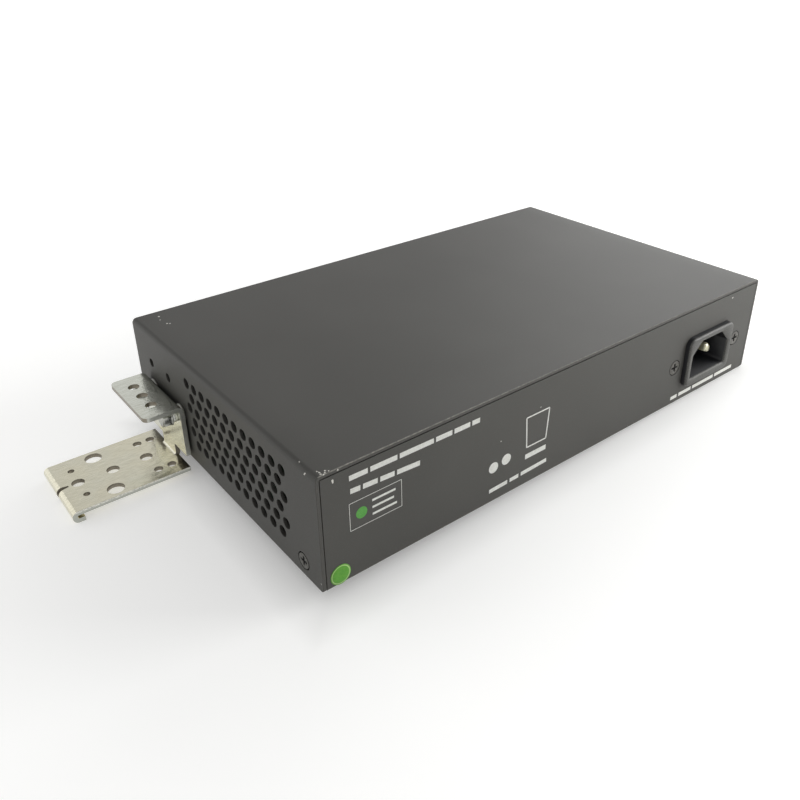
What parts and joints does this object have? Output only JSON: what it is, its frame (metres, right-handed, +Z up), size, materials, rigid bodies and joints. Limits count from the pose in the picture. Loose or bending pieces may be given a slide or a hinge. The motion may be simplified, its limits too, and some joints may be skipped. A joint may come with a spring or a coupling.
{
  "type": "rail-mounted ethernet switch",
  "caption": "Flat folded-steel network switch with a vented side, a mains inlet and a zinc-plated rail clip.",
  "frame": {"origin": "centre of the case's underside", "axes": "+Z up, +X towards the side with the rail clip, -Y towards the front with the network sockets, +Y towards the rear panel with the mains inlet"},
  "size_m": [0.2534, 0.1276, 0.0471],
  "materials": {
    "painted_steel": "matt dark grey-brown powder coat, fine grained",
    "zinc_steel": "zinc-plated steel, slightly yellow passivation",
    "bright_steel": "zinc-plated steel",
    "tin_plate": "tin-plated steel sheet",
    "black_plastic": "black moulded thermoplastic",
    "pin_brass": "nickel-plated brass",
    "gold_wire": "gold-plated bronze wire",
    "green_paper": "printed paper label",
    "circuit_board": "glass-filled board with green resist",
    "clear_plastic": "clear light guide",
    "chip_black": "moulded component body",
    "aluminium": "aluminium, plain",
    "capacitor_sleeve": "sleeved aluminium can",
    "ferrite": "sintered ferrite",
    "copper_tape": "winding under yellow tape",
    "fuse_glass": "fuse with ceramic tube",
    "filter_yellow": "boxed film capacitor"
  },
  "bodies": {
    "root": {"top_cover": "painted_steel", "chassis_tray": "painted_steel", "rail_bracket": "zinc_steel", "bracket_screws": "bright_steel", "bracket_collars": "bright_steel", "bracket_shims": "bright_steel", "clinch_nuts": "bright_steel", "cover_screws": "painted_steel", "inlet_housing": "black_plastic", "inlet_pins": "pin_brass", "inlet_screws": "painted_steel", "inlet_nuts": "bright_steel", "rear_sticker": "green_paper", "socket_housing": "black_plastic", "socket_contacts": "gold_wire", "socket_shield": "tin_plate", "status_lights": "clear_plastic", "light_holder": "black_plastic", "main_board": "circuit_board", "main_board_posts": "bright_steel", "main_board_screws": "bright_steel", "line_transformers": "chip_black", "switch_chip": "chip_black", "chip_heat_sink": "aluminium", "power_board": "circuit_board", "power_board_posts": "bright_steel", "power_board_screws": "bright_steel", "fuse": "fuse_glass", "fuse_clips": "tin_plate", "filter_capacitor": "filter_yellow", "bulk_capacitor": "capacitor_sleeve", "line_choke": "ferrite", "transformer_core": "ferrite", "transformer_winding": "copper_tape", "power_heat_sink": "aluminium", "power_transistor": "chip_black", "output_capacitors": "capacitor_sleeve", "board_link": "black_plastic"}
  },
  "joints": []
}
